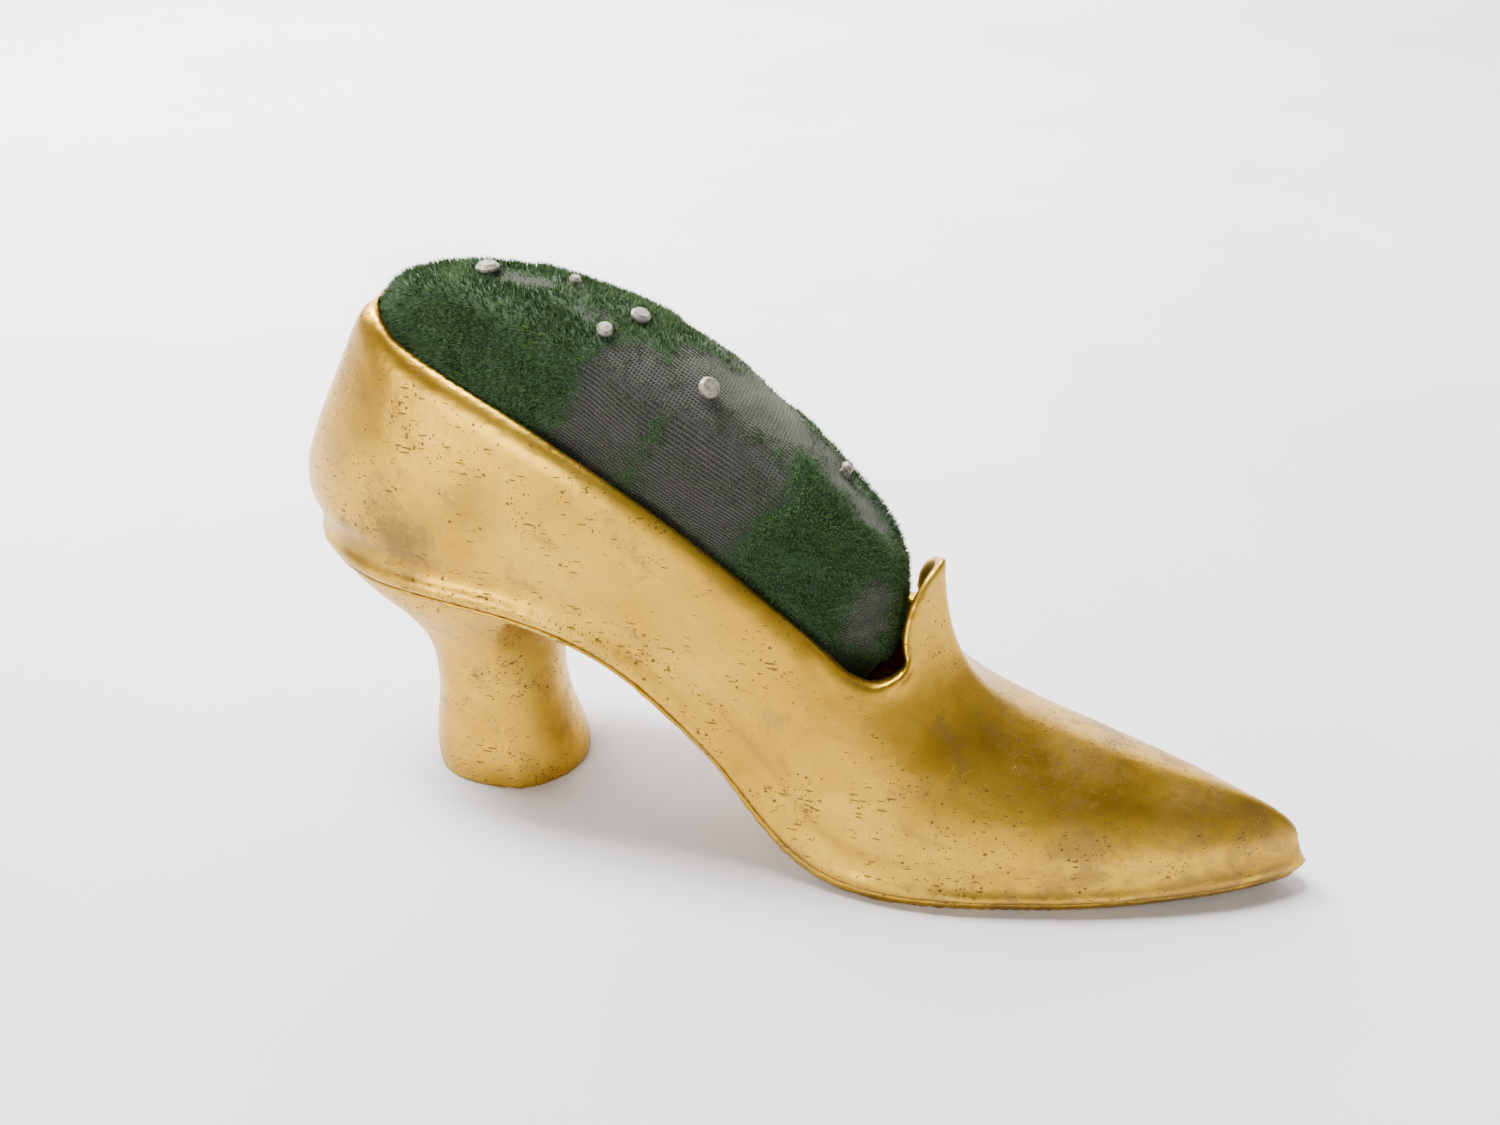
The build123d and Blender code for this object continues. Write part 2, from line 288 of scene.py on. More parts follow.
# Dark stains on the side of the counter: centre, inner and outer reach in mm, depth.
STAINS = (
    ((-50.9, -13.6, 44.5), 1.0, 8.5, 0.75), ((-58.5, -11.5, 41.0), 0.5, 6.0, 0.5),
    ((-40.0, -13.5, 51.5), 0.2, 6.5, 0.38),
)


def gilt(name, patina_start, patina_end, shade=1.0):
    """Worn gilding: warm gold with brown patina, pits, dashes and hair scratches."""
    s = Surface(name)
    tone = s.noise(0.06, 4.0, 0.6)
    gold = s.ramp(tone, (0.30, (0.40 * shade, 0.215 * shade, 0.016 * shade)),
                  (0.50, (0.52 * shade, 0.300 * shade, 0.024 * shade)),
                  (0.72, (0.60 * shade, 0.375 * shade, 0.040 * shade)))
    place = s.tree.nodes.new("ShaderNodeSeparateXYZ")
    s.feed(place.inputs[0], s.mm)
    blotch = s.noise(0.16, 6.0, 0.66, warp=0.6)
    toe = s.span(place.outputs[0], patina_start, patina_end, 0.0, 0.62)
    patina = s.span(s.math("ADD", blotch, s.math("MULTIPLY", toe, 0.22)), 0.53, 0.74, 0, 0.72)
    colour = s.mix(patina, gold, (0.27 * shade, 0.165 * shade, 0.045 * shade))
    stains = [near(s, centre, inner, outer) for centre, inner, outer, _ in STAINS]
    for stain, (_, _, _, depth) in zip(stains, STAINS):
        colour = s.mix(s.math("MULTIPLY", stain, depth), colour, DARK_STAIN)
    crowd = s.noise(0.11, 3.0, 0.6, warp=0.8)
    dots = []
    for scale, least, most in ((0.95, 0.03, 0.30), (2.1, 0.03, 0.36), (4.2, 0.05, 0.34)):
        reach, chance = s.cells(scale)
        size = s.math("MULTIPLY", s.span(s.math("MULTIPLY", crowd, chance), 0.16, 0.62), most)
        dots.append(s.math("GREATER_THAN", s.math("SUBTRACT", size, least), reach))
    dashes = []
    for rotation, stretch in (((0.3, 1.15, 0.9), (0.42, 2.6, 2.6)),
                              ((1.2, 0.8, 2.1), (0.50, 3.0, 3.0))):
        reach, chance = s.cells(0.75, s.turn(rotation, stretch))
        size = s.math("MULTIPLY", s.span(s.math("MULTIPLY", crowd, chance), 0.20, 0.6), 0.34)
        dashes.append(s.math("GREATER_THAN", s.math("SUBTRACT", size, 0.05), reach))
    hair = s.noise(0.14, 1.5, 0.4, warp=1.2)
    line = s.math("ABSOLUTE", s.math("SUBTRACT", hair, 0.52))
    line = s.math("MULTIPLY", s.span(line, 0.0006, 0.0016, 1, 0), s.span(blotch, 0.5, 0.62))
    marks = line
    for mark in dots + dashes:
        marks = s.math("MAXIMUM", marks, mark)
    colour = s.mix(s.math("MULTIPLY", marks, 0.82), colour, PIT_COLOUR)
    grain = s.noise(9.0, 4.0, 0.7)
    rough = s.span(tone, 0.3, 0.75, 0.30, 0.40)
    rough = s.math("ADD", rough, s.math("MULTIPLY", patina, 0.14))
    rough = s.math("ADD", rough, s.math("MULTIPLY", marks, 0.25))
    rough = s.math("ADD", rough, s.math("MULTIPLY", stains[0], 0.15))
    waves = s.bump(s.noise(0.35, 3.0, 0.5), 0.00025, 0.5)
    relief = s.math("SUBTRACT", s.math("MULTIPLY", grain, 0.35), marks)
    normal = s.bump(relief, 0.00006, 0.8, waves)
    return s.shader(Base_Color=colour, Metallic=1.0, Roughness=rough, Normal=normal)


def pile_surface(name):
    """Velvet tufts: dark green at the root, lighter and yellower towards the tips, a painted sheen
    that stands in for light caught on the pile.
    """
    s = Surface(name)
    tip_sheen = s.attribute("tip_sheen")
    tone = s.attribute("tone")
    root = s.ramp(tone, (0.0, (0.004, 0.018, 0.004)), (0.7, (0.008, 0.036, 0.006)),
                  (1.0, (0.022, 0.024, 0.014)))
    # Painted sheen: the tufts' ends are coloured lighter and yellower than their roots, standing in
    # for the lit fuzzy rim of the pile.
    end = s.ramp(tone, (0.0, (0.010, 0.046, 0.009)), (0.45, (0.026, 0.090, 0.016)),
                 (0.75, (0.070, 0.110, 0.026)), (1.0, (0.060, 0.052, 0.036)))
    colour = s.mix(tip_sheen, root, end)
    return s.shader(Base_Color=colour, Roughness=0.75, Sheen_Weight=0.6, Sheen_Roughness=0.4,
                    Sheen_Tint=(0.55, 0.85, 0.25, 1.0))


WEAVE_PITCH = 0.46         # from one thread of the velvet's ground to the next, mm


def velvet_surface(name):
    """Velvet under its tufts: woven brown ground where worn, green elsewhere."""
    s = Surface(name)
    place = s.attribute("cloth", "Vector")
    wear = s.attribute("wear")
    split = s.tree.nodes.new("ShaderNodeSeparateXYZ")
    s.feed(split.inputs[0], place)
    warp = s.math("SINE", s.math("MULTIPLY", split.outputs[0], math.tau / WEAVE_PITCH))
    weft = s.math("SINE", s.math("MULTIPLY", split.outputs[1], math.tau / WEAVE_PITCH))
    over = s.math("MULTIPLY", warp, weft)
    threads = s.math("MAXIMUM", s.math("ADD", warp, s.math("MULTIPLY", over, 0.5)),
                     s.math("SUBTRACT", weft, s.math("MULTIPLY", over, 0.5)))
    fluff = s.noise(3.2, 5.0, 0.7)
    ground = s.mix(s.span(threads, -0.6, 1.3), (0.006, 0.005, 0.005), (0.036, 0.030, 0.028))
    green = s.ramp(fluff, (0.3, (0.003, 0.014, 0.003)), (0.7, (0.014, 0.055, 0.010)))
    share = s.span(s.math("ADD", wear, s.math("MULTIPLY", fluff, 0.5)), 0.55, 0.95)
    colour = s.mix(share, green, ground)
    relief = s.math("ADD", s.math("MULTIPLY", threads, share), s.math("MULTIPLY", fluff, 0.6))
    return s.shader(Base_Color=colour, Roughness=0.85, Sheen_Weight=0.35, Sheen_Roughness=0.5,
                    Sheen_Tint=(0.5, 0.6, 0.4, 1.0), Normal=s.bump(relief, 0.00012, 1.0))


def steel(name):
    """Dull, tarnished pin steel with brown freckles."""
    s = Surface(name)
    tone = s.noise(1.4, 5.0, 0.65)
    colour = s.ramp(tone, (0.32, (0.10, 0.085, 0.06)), (0.5, (0.24, 0.225, 0.19)),
                    (0.72, (0.38, 0.36, 0.31)))
    rough = s.span(tone, 0.3, 0.7, 0.62, 0.42)
    return s.shader(Base_Color=colour, Metallic=0.75, Roughness=rough,
                    Normal=s.bump(s.noise(6.0, 4.0, 0.7), 0.00006, 0.9))


def plain_cloth(name, dark, light, pitch):
    """A simple woven or felted stuff for the pieces inside."""
    s = Surface(name)
    wave = s.tree.nodes.new("ShaderNodeTexWave")
    s.feed(wave.inputs["Vector"], s.mm)
    wave.inputs["Scale"].default_value = 1 / pitch
    wave.inputs["Distortion"].default_value = 1.5
    mottle = s.noise(1.5, 5.0, 0.7)
    share = s.math("MULTIPLY", s.math("ADD", wave.outputs["Fac"], mottle), 0.5)
    return s.shader(Base_Color=s.mix(share, dark, light), Roughness=0.85,
                    Normal=s.bump(share, 0.00015, 0.7))


def table_top(name):
    s = Surface(name)
    tone = s.noise(0.012, 3.0, 0.5)
    colour = s.ramp(tone, (0.35, (0.70, 0.685, 0.70)), (0.7, (0.76, 0.75, 0.765)))
    return s.shader(Base_Color=colour, Roughness=0.75, Specular_IOR_Level=0.25,
                    Normal=s.bump(s.noise(0.8, 6.0, 0.6), 0.00006, 0.6))


# ---------------------------------------------------------------- metal pieces

ROLL_DOWN = 3.4 * MM       # how far down the outside the rim's rolled edge reaches
ROLL_IN = 1.7 * MM         # and how far it comes in
TONGUE_WALL = 1.4 * MM
THROAT_FROM_BACK = 76.6 * MM   # where the side of the rim meets the throat
TONGUE_FROM_THROAT = 5.5 * MM  # the tongue's edge lies further forward than this
CUSP_HEIGHT = 32.4 * MM
TONGUE_TOP = 45.0 * MM
SHAPING_VOXEL = 0.5 * MM       # mesh that the upper is shaped on
UPPER_VOXEL = 0.49 * MM
SOLE_VOXEL = 0.36 * MM
HEEL_VOXEL = 0.30 * MM


def top_curve(co, first, last, step):
    """X and Z along the top of a set of points, smoothed."""
    stations = np.arange(first, last, step)
    heights = np.array([co[abs(co[:, 0] - x) < 0.6 * step, 2].max() for x in stations])
    for _ in range(4):
        heights[1:-1] = (heights[:-2] + 2 * heights[1:-1] + heights[2:]) / 4
    return np.column_stack([stations, heights])


def tongue_edge(co, back):
    """X and Z along the free edge of the tongue, from its cusp upward."""
    co = co[co[:, 0] > back]
    levels = np.arange(CUSP_HEIGHT, TONGUE_TOP, 0.5 * MM)
    reach = np.array([co[abs(co[:, 2] - z) < 0.35 * MM, 0].min() for z in levels])
    for _ in range(2):
        reach[1:-1] = (reach[:-2] + 2 * reach[1:-1] + reach[2:]) / 4
    return np.column_stack([reach, levels])


def below_curve(co, curve):
    """Depth of points under a side profile, measured square to it."""
    slope = np.gradient(curve[:, 1], curve[:, 0])
    lean = 1 / np.sqrt(1 + np.interp(co[:, 0], curve[:, 0], slope) ** 2)
    return (np.interp(co[:, 0], curve[:, 0], curve[:, 1]) - co[:, 2]) * lean


def outer_faces(piece):
    """Search tree of a piece's faces that look away from the middle of the shoe."""
    mesh = piece.data
    co = corners(mesh)
    heart_low, heart_high = cad_box[0].x + 26 * MM, cad_box[0].x + 105 * MM
    kept = []
    for face in mesh.polygons:
        c, n = face.center, face.normal
        heart_x = min(max(c.x, heart_low), heart_high)
        away = Vector((c.x - heart_x, c.y, 0))
        if away.length > 1e-6 and n.dot(away.normalized()) > 0.25:
            kept.append(tuple(face.vertices))
    return BVHTree.FromPolygons([tuple(p) for p in co], kept)


def shape_welt(rise):
    """How far the outer surface moves out at a height over the welt seam, mm."""
    hollow = -0.42 * math.exp(-((rise - 4.6) / 1.5) ** 2)
    cove = 0.38 * math.exp(-((rise - 1.9) / 0.55) ** 2)
    return hollow + cove


def make_upper():
    """The cast upper: rolled rim, rounded welt, and a tongue that opens like a petal."""
    piece = welded_copy("upper", "upper_casting")
    tree = outer_faces(piece)
    throat = cad_box[0].x + THROAT_FROM_BACK
    remesh(piece, SHAPING_VOXEL)
    co = corners(piece.data)
    rim = top_curve(co, cad_box[0].x + 2 * MM, throat, 0.9 * MM)
    tongue = tongue_edge(co, throat + TONGUE_FROM_THROAT)
    cusp = tongue[0]
    plate = corners(nodes["sole"].data)
    seam = top_curve(plate, plate[:, 0].min() + 2 * MM, plate[:, 0].max() - 1 * MM, 1.6 * MM)
    depth = below_curve(co, rim)
    rise = -below_curve(co, seam)
    at_rim = (depth < ROLL_DOWN) & (co[:, 0] < throat)
    at_welt = (rise > -1 * MM) & (rise < 9 * MM)
    fade = ease(throat - co[:, 0], 0.3 * MM, 4 * MM)
    side = co[:, [0, 2]]
    edge = np.full(len(co), 1.0)
    ahead = np.nonzero(co[:, 0] > throat + 2 * MM)[0]
    edge[ahead] = np.linalg.norm(side[ahead, None] - tongue[None], axis=2).min(1)
    at_tongue = edge < 5 * MM
    for i in np.nonzero(at_rim | at_welt | at_tongue)[0]:
        spot, normal, _, reach = tree.find_nearest(Vector(co[i]), 4 * MM)
        if spot is None:
            continue
        if at_rim[i]:
            part = 1 - max(depth[i], 0) / ROLL_DOWN
            inward = ROLL_IN * (1 - math.sqrt(max(1 - part * part, 0))) * fade[i]
            if inward > reach:
                co[i] = spot - normal * inward
        elif at_welt[i] and reach < 0.5 * MM:
            co[i] += np.array(normal) * shape_welt(rise[i] / MM) * MM
        elif at_tongue[i]:
            skin = max(1 - reach / TONGUE_WALL, 0)
            hand = 1 if normal.y < 0 else -1
            forward = np.array((-normal.y * hand, normal.x * hand, 0))
            near_edge = math.exp(-(edge[i] / (1.1 * MM)) ** 2)
            curl = math.exp(-(edge[i] / (2.6 * MM)) ** 2)
            horn = math.exp(-(math.dist(side[i], cusp) / (1.5 * MM)) ** 2)
            co[i] += forward * (1.25 * skin * near_edge) * MM
            co[i] += np.array(normal) * (0.45 * curl + 0.75 * horn) * MM
    set_corners(piece.data, co)
    remesh(piece, UPPER_VOXEL, 3)
    return piece


def finish_metal(piece, node, surface):
    shade_smooth(piece)
    piece.data.materials.clear()
    piece.data.materials.append(surface)
    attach(piece, "shoe")
    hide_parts(node)


upper_gold = gilt("gilt_upper", -5.0, 68.0)
sole_gold = gilt("gilt_sole", -10.0, 60.0, 0.86)
heel_gold = gilt("gilt_heel", -70.0, 40.0, 0.96)

upper = make_upper()
finish_metal(upper, "upper", upper_gold)
sole = welded_copy("sole", "sole_plate")
remesh(sole, SOLE_VOXEL, 1)
finish_metal(sole, "sole", sole_gold)
heel = welded_copy("heel", "heel_casting")
remesh(heel, HEEL_VOXEL, 1)
finish_metal(heel, "heel", heel_gold)


# ---------------------------------------------------------------- pad frame

def pad_axes():
    """Two directions of the pad's own frame, from its flat card: along it and out of it."""
    upward = np.zeros(3)
    for face in nodes["card_base"].data.polygons:
        if face.normal.z > 0.6:
            upward += np.array(face.normal) * face.area
    out = upward / np.linalg.norm(upward)
    out[1] = 0
    out /= np.linalg.norm(out)
    along = np.array([out[2], 0, -out[0]])
    return along, out


PAD_ALONG, PAD_OUT = pad_axes()
CARD_TO_RIM = 8.8 * MM     # from the card's top to the plane of the rim
pad_start = (corners(nodes["velvet_cover"].data) @ PAD_ALONG).min()
pad_rim = (corners(nodes["card_base"].data) @ PAD_OUT).max() + CARD_TO_RIM


def to_pad(co):
    """Positions in the pad's frame, mm: along from the back, across, out from the rim."""
    return np.stack([(co @ PAD_ALONG - pad_start) / MM, co[:, 1] / MM,
                     (co @ PAD_OUT - pad_rim) / MM], 1)


# Worn patches of the velvet: along, across, half length, half width, strength.
WORN = (
    (33, -8, 7, 5, 0.9), (41, -4, 9, 6, 1.0), (49, 0, 9, 6, 1.0), (46, -9, 10, 4, 0.9),
    (57, 1, 7, 4, 0.8), (66, 0, 6, 3, 0.9), (74, -7.5, 4, 3, 0.9), (14, 0, 5, 2.5, 0.7),
    (24, -3, 4, 2.5, 0.35), (40, 5, 8, 4, 0.6), (52, 7, 9, 4, 0.5),
)


def wear_at(pad):
    """How worn the velvet is at each place, 0 to 1."""
    wear = np.zeros(len(pad))
    for u, v, long, wide, strength in WORN:
        reach = np.hypot((pad[:, 0] - u) / long, (pad[:, 1] - v) / wide)
        wear = np.maximum(wear, strength * (1 - ease(reach, 0.45, 1.25)))
    wear += 0.30 * lumps(pad, 3.1, 11) + 0.22 * lumps(pad, 1.2, 12) + 0.12 * lumps(pad, 0.5, 13)
    return np.clip(wear, 0, 1) * ease(pad[:, 2], -1.0, 1.6)


# ---------------------------------------------------------------- cushion

CLOTH_SCALE = 5.0          # the pad is simulated five times its size
CLOTH_VOXEL = 5.0 * MM
CLOTH_FRAMES = 20
SWELL = 0.9 * MM           # the pad starts this much smaller than its CAD solid
SWELL_CAP = 1.1 * MM       # and the simulation moves no point further than this
SLACK = 0.12 * MM          # afterwards no point is left further than this inside the CAD solid


def pad_hull(name):
    """The velvet cover's CAD solid with its hollow filled in."""
    bm = bmesh.new()
    bm.from_mesh(nodes["velvet_cover"].data)
    bmesh.ops.remove_doubles(bm, verts=bm.verts, dist=2e-6)
    made = bmesh.ops.convex_hull(bm, input=bm.verts)
    spare = [v for v in made["geom_interior"] + made["geom_unused"]
             if isinstance(v, bmesh.types.BMVert)]
    bmesh.ops.delete(bm, geom=spare, context="VERTS")
    loose = [f for f in made["geom_holes"] if isinstance(f, bmesh.types.BMFace)]
    bmesh.ops.delete(bm, geom=[f for f in loose if f.is_valid], context="FACES")
    mesh = bpy.data.meshes.new(name)
    bm.to_mesh(mesh)
    bm.free()
    return new_piece(name, mesh)


def simulate(piece):
    """Cloth simulation of the pad above the rim, under air pressure."""
    rest = corners(piece.data)
    held = piece.vertex_groups.new(name="held")
    pad = to_pad(rest / CLOTH_SCALE)
    for i in np.nonzero(pad[:, 2] < 0.3)[0]:
        held.add([int(i)], 1.0, "REPLACE")
    cloth = piece.modifiers.new("cloth", "CLOTH")
    settings = cloth.settings
    settings.quality = 6
    settings.mass = 0.3
    settings.use_pressure = True
    settings.uniform_pressure_force = 4.0
    settings.tension_stiffness = 8.0
    settings.compression_stiffness = 8.0
    settings.shear_stiffness = 3.0
    settings.bending_stiffness = 0.3
    settings.vertex_group_mass = "held"
    settings.effector_weights.gravity = 0.0
    scene = bpy.context.scene
    scene.frame_start, scene.frame_end = 1, CLOTH_FRAMES
    for number in range(1, CLOTH_FRAMES + 1):
        scene.frame_set(number)
    bake_modifiers(piece)
    scene.frame_set(1)
    moved = corners(piece.data) - rest
    length = np.linalg.norm(moved, axis=1)
    limit = SWELL_CAP * CLOTH_SCALE
    moved *= (np.minimum(length, limit) / np.maximum(length, 1e-9))[:, None]
    set_corners(piece.data, rest + moved)


def subdivide(piece):
    step = piece.modifiers.new("fine", "SUBSURF")
    step.levels = 1
    step.render_levels = 1
    bake_modifiers(piece)


def pin_heads():
    """Centre of each pin's head in the pad's frame, mm."""
    heads = []
    for joint in frame["joints"]:
        axis = np.array(joint["axis"], float)
        co = corners(nodes[joint["child"]].data)
        out = co @ axis
        heads.append(to_pad(co[out > out.max() - 0.9 * MM].mean(0)[None])[0])
    return np.array(heads)


def cushion_shape():
    """The finished outer skin of the pad, closed underneath."""
    piece = pad_hull("velvet_cushion")
    piece.data.transform(Matrix.Scale(CLOTH_SCALE, 4))
    remesh(piece, CLOTH_VOXEL, 2)
    full, out = corners(piece.data), normals(piece.data)
    proud = ease(to_pad(full / CLOTH_SCALE)[:, 2], 0.0, 5.0)
    set_corners(piece.data, full - out * (SWELL * CLOTH_SCALE * proud)[:, None])
    simulate(piece)
    co = corners(piece.data)
    short = ((full - co) * out).sum(1)
    co += out * np.maximum(short - SLACK * CLOTH_SCALE, 0)[:, None]
    set_corners(piece.data, co)
    piece.data.transform(Matrix.Scale(1 / CLOTH_SCALE, 4))
    subdivide(piece)
    return piece


# Creases of the cover at the throat: start and end along and across, depth, half width, mm.
CREASES = (
    (70.5, -9.5, 75.5, -4.5, 0.55, 0.55), (72.8, -9.6, 77.2, -5.6, 0.45, 0.45),
    (66.0, -9.8, 70.0, -6.8, 0.25, 0.6), (75.5, 5.0, 71.5, 9.0, 0.40, 0.6),
)
DEEPEST = 0.6              # how far the skin may sink, clear of the bag under it, mm


def crease_depth(pad):
    depth = np.zeros(len(pad))
    for u0, v0, u1, v1, deep, half in CREASES:
        line = np.array([u1 - u0, v1 - v0])
        offset = pad[:, :2] - [u0, v0]
        t = np.clip(offset @ line / (line @ line), 0, 1)
        reach = np.linalg.norm(offset - t[:, None] * line, axis=1)
        depth += deep * np.exp(-(reach / half) ** 2) * np.sin(np.pi * np.clip(t, 0.08, 0.92))
    return depth


def sculpt(piece, heads):
    """Wear, creases, dimples under the pins and small unevenness of the stuffing."""
    co = corners(piece.data)
    pad = to_pad(co)
    wear = wear_at(pad)
    free = ease(pad[:, 2], -0.6, 2.0)
    sink = 0.45 * wear + crease_depth(pad)
    sink -= 0.28 * lumps(pad, 7.0, 5) + 0.10 * lumps(pad, 2.2, 6)
    for head in heads:
        sink += 0.35 * np.exp(-(np.linalg.norm(pad - head, axis=1) / 1.6) ** 2)
    sink = np.minimum(sink, DEEPEST)
    co -= normals(piece.data) * (sink * free * MM)[:, None]
    set_corners(piece.data, co)
    set_attribute(piece.data, "wear", wear)
    set_attribute(piece.data, "cloth", laid_flat(pad))


def laid_flat(pad):
    """Where each point lies on the cloth before it was drawn over the dome, mm."""
    half, crown = 12.0, 18.0
    turn = np.arctan2(pad[:, 1] / half, np.maximum(pad[:, 2], 0) / crown)
    steps = np.linspace(0, np.pi, 400)
    pace = np.hypot(half * np.cos(steps), crown * np.sin(steps))
    length = np.concatenate([[0], np.cumsum((pace[1:] + pace[:-1]) / 2 * np.diff(steps))])
    across = np.interp(abs(turn), steps, length) * np.sign(turn)
    pull = 0.4 * lumps(pad, 9.0, 41)
    return np.column_stack([pad[:, 0] + 0.06 * across + pull, across + pull, pad[:, 2]])


HEM_INSET = 6.0 * MM       # width of the velvet turned in under the card
COVER_THICKNESS = 0.85 * MM


def open_below(piece):
    """Cuts the opening inside the hem and gives the cover its thickness."""
    card = corners(nodes["card_base"].data)
    under = (card @ PAD_OUT).min() - 0.3 * MM
    card_along = card @ PAD_ALONG
    middle = (card_along.max() + card_along.min()) / 2
    half_long = (card_along.max() - card_along.min()) / 2 - HEM_INSET
    half_wide = card[:, 1].max() - HEM_INSET
    bm = bmesh.new()
    bm.from_mesh(piece.data)
    out, along = Vector(PAD_OUT), Vector(PAD_ALONG)
    spare = []
    for face in bm.faces:
        c = face.calc_center_median()
        reach = math.hypot((c.dot(along) - middle) / half_long, c.y / half_wide)
        if c.dot(out) < under and reach < 1:
            spare.append(face)
    bmesh.ops.delete(bm, geom=spare, context="FACES")
    bm.to_mesh(piece.data)
    bm.free()
    step = piece.modifiers.new("thick", "SOLIDIFY")
    step.thickness = COVER_THICKNESS
    step.offset = -1
    bake_modifiers(piece)


TUFTS_TRIED = 90000
TUFTS_KEPT = 48000
TUFT_LENGTH = 0.85         # of unworn pile, mm
TUFT_WIDTH = 0.16          # at the root, mm
HEAD_CLEARANCE = 1.35      # bare ring round the middle of a pin's head, mm


def make_pile(skin, heads):
    """Velvet tufts standing on the cushion's skin, as small closed spikes."""
    rng = np.random.default_rng(7)
    mesh = skin.data
    mesh.calc_loop_triangles()
    tri = np.empty(len(mesh.loop_triangles) * 3, int)
    mesh.loop_triangles.foreach_get("vertices", tri)
    tri = tri.reshape(-1, 3)
    co, no = corners(mesh), normals(mesh)
    centre = to_pad(co[tri].mean(1))
    tri = tri[centre[:, 2] > -1.2]
    a, b, c = (co[tri[:, k]] for k in range(3))
    area = np.linalg.norm(np.cross(b - a, c - a), axis=1)
    pick = rng.choice(len(tri), TUFTS_TRIED, p=area / area.sum())
    r = rng.random((TUFTS_TRIED, 2))
    flip = r.sum(1) > 1
    r[flip] = 1 - r[flip]
    w = np.stack([1 - r.sum(1), r[:, 0], r[:, 1]], 1)
    root = (co[tri[pick]] * w[..., None]).sum(1)
    normal = (no[tri[pick]] * w[..., None]).sum(1)
    normal /= np.linalg.norm(normal, axis=1)[:, None]
    pad = to_pad(root)
    wear = wear_at(pad)
    keep = rng.random(TUFTS_TRIED) > wear * 0.97
    for head in heads:
        keep &= np.linalg.norm(pad - head, axis=1) > HEAD_CLEARANCE
    keep &= np.cumsum(keep) <= TUFTS_KEPT
    root, normal, pad, wear = root[keep], normal[keep], pad[keep], wear[keep]
    n = len(root)
    sway = np.stack([lumps(pad, 3.5, 21), lumps(pad, 3.5, 22), lumps(pad, 3.5, 23)], 1)
    sway += rng.normal(0, 0.36, (n, 3)) - 0.35 * PAD_ALONG
    lean = normal + 0.60 * sway
    lean /= np.linalg.norm(lean, axis=1)[:, None]
    lean += normal * np.maximum(0.25 - (lean * normal).sum(1), 0)[:, None]
    lean /= np.linalg.norm(lean, axis=1)[:, None]
    length = TUFT_LENGTH * (1 - 0.75 * wear) * (0.72 + 0.5 * rng.random(n)) * MM
    length *= 1 + 0.18 * lumps(pad, 1.6, 25)
    width = TUFT_WIDTH * (0.75 + 0.5 * rng.random(n)) * MM
    side = np.cross(lean, rng.normal(0, 1, (n, 3)))
    side /= np.linalg.norm(side, axis=1)[:, None]
    other = np.cross(lean, side)
    foot = root - normal * 0.12 * MM
    turn = 2 * np.pi / 3
    ring = [foot + width[:, None] / 2 * (side * math.cos(k * turn) + other * math.sin(k * turn))
            for k in range(3)]
    top = root + lean * length[:, None]
    verts = np.stack(ring + [top], 1).reshape(-1, 3)
    base = np.arange(n)[:, None] * 4
    faces = [(0, 2, 1), (0, 1, 3), (1, 2, 3), (2, 0, 3)]
    tris = np.concatenate([base + np.array(f) for f in faces]).astype(int)
    pile = bpy.data.meshes.new("velvet_pile")
    pile.from_pydata(verts.tolist(), [], tris.tolist())
    tone = 0.42 + 0.30 * lumps(pad, 4.0, 31) + 0.22 * rng.normal(0, 0.5, n) + 0.45 * wear
    set_attribute(pile, "tone", np.repeat(np.clip(tone, 0, 1), 4))
    # Weight of the painted sheen: 0 at each tuft's root and 1 at its point.
    set_attribute(pile, "tip_sheen", np.tile([0, 0, 0, 1.0], n))
    return new_piece("velvet_pile", pile)


heads = pin_heads()
cushion = cushion_shape()
sculpt(cushion, heads)
pile = make_pile(cushion, heads)
open_below(cushion)
shade_smooth(cushion)
cushion.data.materials.clear()
cushion.data.materials.append(velvet_surface("velvet_ground"))
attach(cushion, "shoe")
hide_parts("velvet_cover")
pile.data.materials.append(pile_surface("velvet_tufts"))
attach(pile, "shoe")


# ---------------------------------------------------------------- CAD nodes that stay

def dress(names, surface):
    for name in names:
        mesh = nodes[name].data
        mesh.materials.clear()
        mesh.materials.append(surface)


dress([j["child"] for j in frame["joints"]], steel("pin_steel_tarnished"))
dress(["inner_bag"], plain_cloth("bag_calico", (0.42, 0.36, 0.26), (0.66, 0.60, 0.47), 0.5))
dress(["stuffing"], plain_cloth("sawdust_fill", (0.30, 0.19, 0.09), (0.62, 0.45, 0.25), 1.1))
dress(["card_base"], plain_cloth("grey_card", (0.24, 0.21, 0.17), (0.36, 0.32, 0.26), 0.8))
dress(["gathering_thread"], plain_cloth("linen_thread", (0.35, 0.31, 0.22), (0.6, 0.55, 0.4), 0.3))
dress(["glue_line"], plain_cloth("hide_glue", (0.16, 0.09, 0.03), (0.30, 0.18, 0.07), 2.0))


# ---------------------------------------------------------------- floor, light, camera

def sweep():
    """A pale table that turns up into a wall far behind."""
    back_y, bend, top, width = 0.62, 0.10, 0.9, 2.4
    line = [(-1.2, 0.0), (back_y - bend, 0.0)]
    for k in range(1, 9):
        a = k / 8 * math.pi / 2
        line.append((back_y - bend + bend * math.sin(a), bend - bend * math.cos(a)))
    line.append((back_y, top))
    bm = bmesh.new()
    rows = [[bm.verts.new((x, y, z + cad_box[0].z)) for y, z in line] for x in (-width, width)]
    for k in range(len(line) - 1):
        bm.faces.new((rows[0][k], rows[0][k + 1], rows[1][k + 1], rows[1][k]))
    bmesh.ops.recalc_face_normals(bm, faces=bm.faces)
    mesh = bpy.data.meshes.new("table")
    bm.to_mesh(mesh)
    bm.free()
    piece = new_piece("table", mesh)
    shade_smooth(piece)
    piece.data.materials.append(table_top("table_top"))


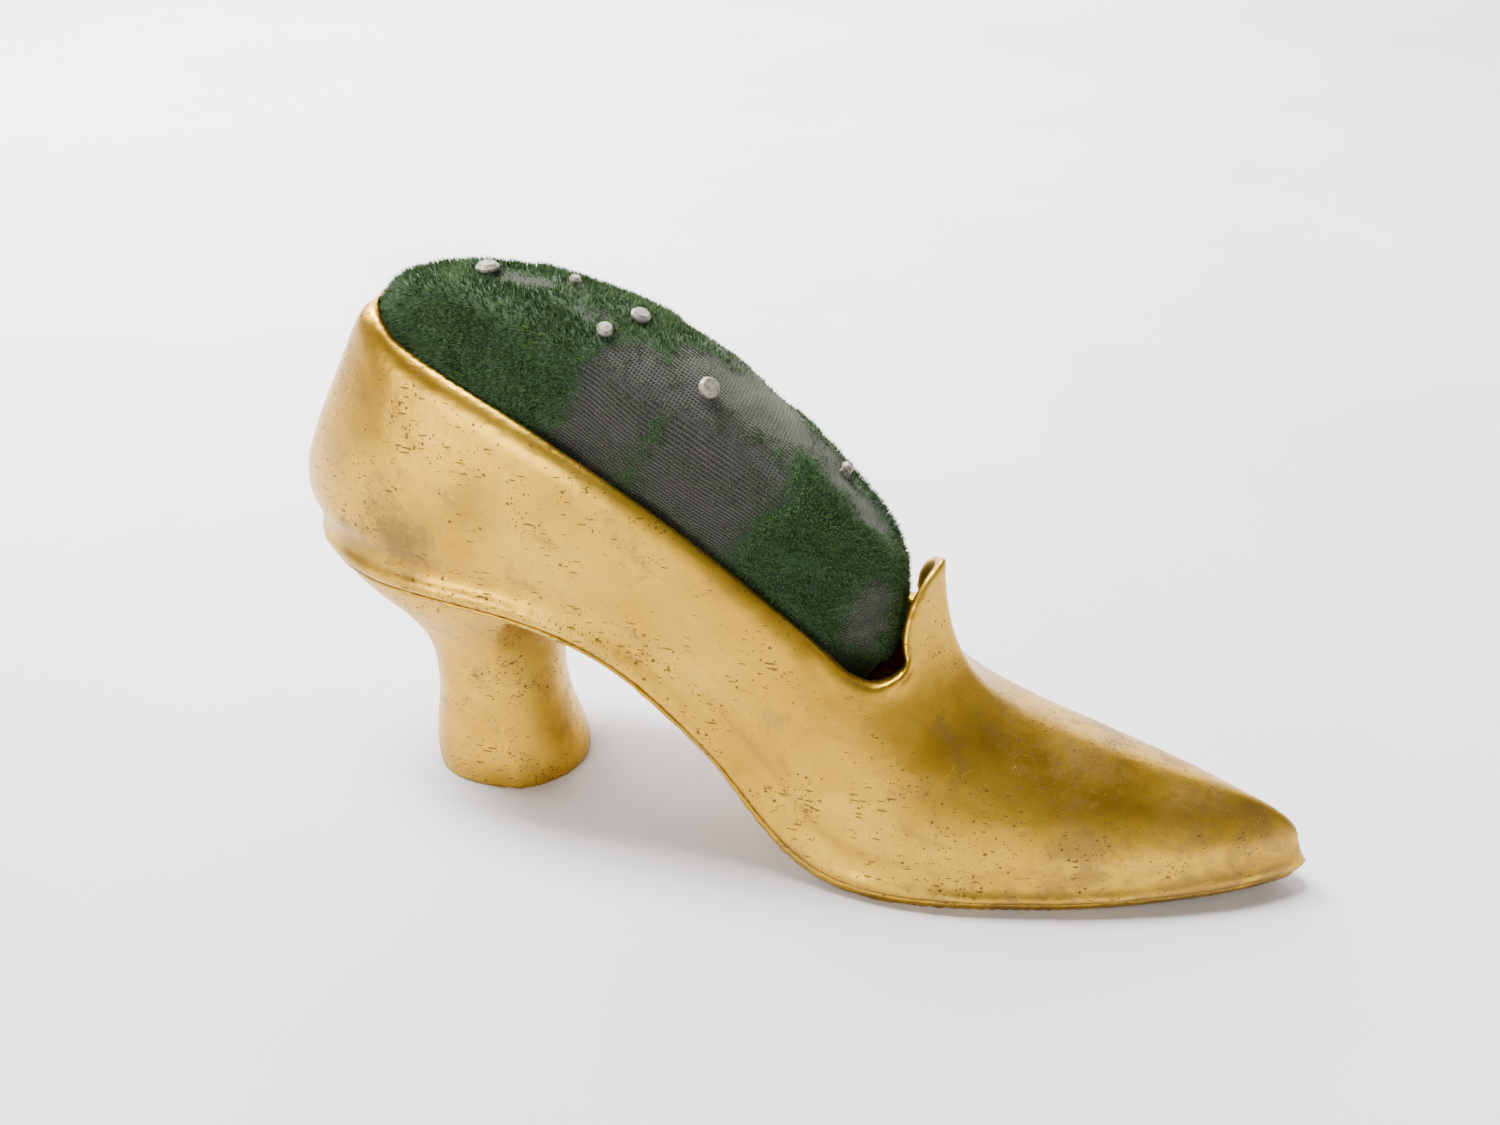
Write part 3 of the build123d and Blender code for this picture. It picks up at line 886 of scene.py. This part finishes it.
def area_light(name, place, aim, size, power, colour):
    light = bpy.data.lights.new(name, "AREA")
    light.shape = "RECTANGLE"
    light.size, light.size_y = size
    light.energy = power
    light.color = colour
    lamp = bpy.data.objects.new(name, light)
    bpy.context.scene.collection.objects.link(lamp)
    lamp.location = place
    lamp.rotation_euler = (Vector(aim) - Vector(place)).to_track_quat("-Z", "Y").to_euler()


def sky():
    """A room that is bright low down all round and dimmer overhead."""
    world = bpy.data.worlds.new("studio")
    world.use_nodes = True
    tree = world.node_tree
    ground = tree.nodes["Background"]
    place = tree.nodes.new("ShaderNodeTexCoord")
    split = tree.nodes.new("ShaderNodeSeparateXYZ")
    tree.links.new(place.outputs["Generated"], split.inputs[0])
    ramp = tree.nodes.new("ShaderNodeValToRGB")
    tree.links.new(split.outputs[2], ramp.inputs[0])
    band = ramp.color_ramp
    band.elements.new(0.5)
    stops = ((0.05, (1.35, 1.35, 1.38)), (0.50, (0.74, 0.73, 0.73)), (0.92, (0.14, 0.135, 0.13)))
    for element, (position, colour) in zip(band.elements, stops):
        element.position = position
        element.color = (*colour, 1)
    tree.links.new(ramp.outputs[0], ground.inputs["Color"])
    ground.inputs["Strength"].default_value = 0.78
    bpy.context.scene.world = world


CAMERA_TURN = 15.12        # degrees round from the side
CAMERA_RISE = 33.63
CAMERA_ROLL = -0.31
CAMERA_AWAY = 186.16 * MM
CAMERA_AIM = (-7.43 * MM, 0.0, 39.72 * MM)


def make_camera():
    a, e = math.radians(CAMERA_TURN), math.radians(CAMERA_RISE)
    back = Vector((math.sin(a) * math.cos(e), -math.cos(a) * math.cos(e), math.sin(e)))
    data = bpy.data.cameras.new("camera")
    data.sensor_width = 36.0
    data.lens = 33.6
    data.clip_start = 0.01
    camera = bpy.data.objects.new("camera", data)
    bpy.context.scene.collection.objects.link(camera)
    turn = back.to_track_quat("Z", "Y").to_matrix().to_4x4()
    roll = Matrix.Rotation(math.radians(CAMERA_ROLL), 4, "Z")
    camera.matrix_world = Matrix.Translation(Vector(CAMERA_AIM) + back * CAMERA_AWAY) @ turn @ roll
    bpy.context.scene.camera = camera


sweep()
sky()
heart = (0, 0, 0.03)
area_light("window", (-0.62, 0.22, 0.60), heart, (0.55, 0.50), 10.0, (1.0, 0.99, 0.97))
area_light("low_front", (-0.36, -0.80, 0.16), heart, (0.36, 0.20), 5.0, (1.0, 0.99, 0.96))
area_light("wall_wash", (-0.30, 0.10, 0.75), (-0.25, 0.62, 0.30), (0.5, 0.3), 34.0, (1.0, 1.0, 1.0))
make_camera()
